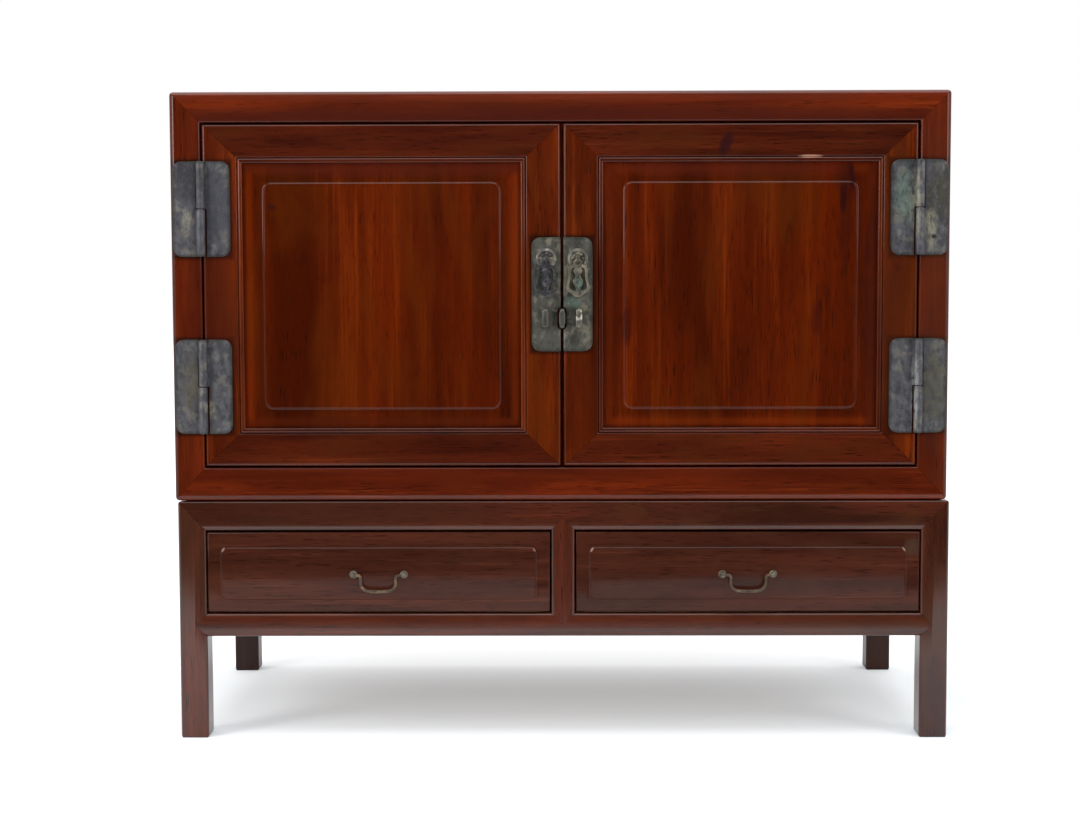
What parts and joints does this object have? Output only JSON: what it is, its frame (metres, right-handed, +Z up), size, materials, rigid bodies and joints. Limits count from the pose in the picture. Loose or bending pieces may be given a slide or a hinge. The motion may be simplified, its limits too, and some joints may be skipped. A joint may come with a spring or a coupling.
{
  "type": "kang cabinet",
  "caption": "Low hardwood cabinet with hinged panelled doors, standing loose on a stand with drawers; mitred frames, brass plates, staples, pendant pulls and bail handles.",
  "frame": {"origin": "on the floor under the middle of the bounding box", "axes": "+X to the right seen from the front, +Y to the back, +Z up; the doors face -Y"},
  "size_m": [1.0634, 0.493, 0.888],
  "materials": {
    "cabinet_frame_wood": "polished red-brown hardwood, worn lighter at the arrises",
    "cabinet_panel_wood": "polished red-brown hardwood boards",
    "cabinet_inner_wood": "unpolished inner wood, darkened with age",
    "door_frame_wood": "polished red-brown hardwood, worn lighter at the arrises",
    "door_panel_wood": "polished red-brown hardwood with a vertical figure",
    "stand_frame_wood": "dark brown hardwood, dull polish, worn arrises",
    "stand_panel_wood": "dark brown hardwood boards",
    "drawer_front_wood": "dark brown hardwood, faded towards the lower edge",
    "drawer_box_wood": "plain unpolished softwood",
    "runner_wood": "plain unpolished hardwood, rubbed smooth",
    "hinge_metal": "dark grey patinated brass sheet with grey-green bloom",
    "lock_plate_metal": "dark grey patinated brass sheet, rubbed yellow in places",
    "staple_metal": "dark cast brass, rubbed bright on the bow",
    "pendant_metal": "grey patinated openwork brass, rubbed at the rim",
    "bail_metal": "brown brass wire with grey ball posts",
    "pin_metal": "dark brass rod"
  },
  "bodies": {
    "root": {"stand_front_legs": "stand_frame_wood", "stand_rear_legs": "stand_frame_wood", "stand_top_rail": "stand_frame_wood", "stand_lower_rail": "stand_frame_wood", "stand_rear_rails": "stand_frame_wood", "stand_side_rails": "stand_frame_wood", "stand_centre_post": "stand_frame_wood", "stand_end_panels": "stand_panel_wood", "stand_back_panel": "stand_panel_wood", "drawer_divider": "runner_wood", "drawer_runners": "runner_wood", "cabinet_front_posts": "cabinet_frame_wood", "cabinet_rear_posts": "cabinet_frame_wood", "cabinet_top_rail": "cabinet_frame_wood", "cabinet_bottom_rail": "cabinet_frame_wood", "cabinet_rear_rails": "cabinet_frame_wood", "cabinet_side_rails": "cabinet_frame_wood", "cabinet_top_panel": "cabinet_panel_wood", "cabinet_floor_panel": "cabinet_inner_wood", "cabinet_panel_battens": "cabinet_inner_wood", "cabinet_side_panels": "cabinet_panel_wood", "cabinet_back_panels": "cabinet_panel_wood", "cabinet_back_muntin": "cabinet_frame_wood", "cabinet_centre_stile": "cabinet_frame_wood", "centre_stile_staple": "staple_metal", "cabinet_shelf": "cabinet_inner_wood", "shelf_bearers": "cabinet_inner_wood", "hinge_frame_leaves": "hinge_metal", "hinge_pins": "pin_metal"},
    "left_door": {"left_door_stiles": "door_frame_wood", "left_door_rails": "door_frame_wood", "left_door_panel": "door_panel_wood", "left_door_battens": "cabinet_inner_wood", "left_door_hinge_leaves": "hinge_metal", "left_lock_plate": "lock_plate_metal", "left_lock_staple": "staple_metal", "left_pull_rosette": "pendant_metal", "left_pull_cotter": "pin_metal"},
    "left_pendant": {"left_pendant": "pendant_metal"},
    "left_drawer": {"left_drawer_front": "drawer_front_wood", "left_drawer_walls": "drawer_box_wood", "left_drawer_bottom": "drawer_box_wood", "left_bail_posts": "bail_metal"},
    "left_bail": {"left_bail": "bail_metal"},
    "right_door": {"right_door_stiles": "door_frame_wood", "right_door_rails": "door_frame_wood", "right_door_panel": "door_panel_wood", "right_door_battens": "cabinet_inner_wood", "right_door_hinge_leaves": "hinge_metal", "right_lock_plate": "lock_plate_metal", "right_lock_staple": "staple_metal", "right_pull_rosette": "pendant_metal", "right_pull_cotter": "pin_metal"},
    "right_pendant": {"right_pendant": "pendant_metal"},
    "right_drawer": {"right_drawer_front": "drawer_front_wood", "right_drawer_walls": "drawer_box_wood", "right_drawer_bottom": "drawer_box_wood", "right_bail_posts": "bail_metal"},
    "right_bail": {"right_bail": "bail_metal"}
  },
  "joints": [
    {"name": "left_door_hinge", "type": "hinge", "parent": "root", "child": "left_door", "pos_m": [-0.4886, -0.2355, 0.6612], "axis": [0, 0, -1], "range_deg": [0, 175]},
    {"name": "left_pendant_swing", "type": "hinge", "parent": "left_door", "child": "left_pendant", "pos_m": [-0.0205, -0.2396, 0.6612], "axis": [-1, 0, 0], "range_deg": [-5, 150]},
    {"name": "left_drawer_slide", "type": "slide", "parent": "root", "child": "left_drawer", "axis": [0, -1, 0], "range_m": [0, 0.3]},
    {"name": "left_bail_swing", "type": "hinge", "parent": "left_drawer", "child": "left_bail", "pos_m": [-0.2523, -0.2365, 0.228], "axis": [-1, 0, 0], "range_deg": [-12, 160]},
    {"name": "right_door_hinge", "type": "hinge", "parent": "root", "child": "right_door", "pos_m": [0.4852, -0.2355, 0.6612], "axis": [0, 0, 1], "range_deg": [0, 175]},
    {"name": "right_pendant_swing", "type": "hinge", "parent": "right_door", "child": "right_pendant", "pos_m": [0.0225, -0.2396, 0.6612], "axis": [-1, 0, 0], "range_deg": [-5, 150]},
    {"name": "right_drawer_slide", "type": "slide", "parent": "root", "child": "right_drawer", "axis": [0, -1, 0], "range_m": [0, 0.3]},
    {"name": "right_bail_swing", "type": "hinge", "parent": "right_drawer", "child": "right_bail", "pos_m": [0.2557, -0.2365, 0.228], "axis": [-1, 0, 0], "range_deg": [-12, 160]}
  ]
}
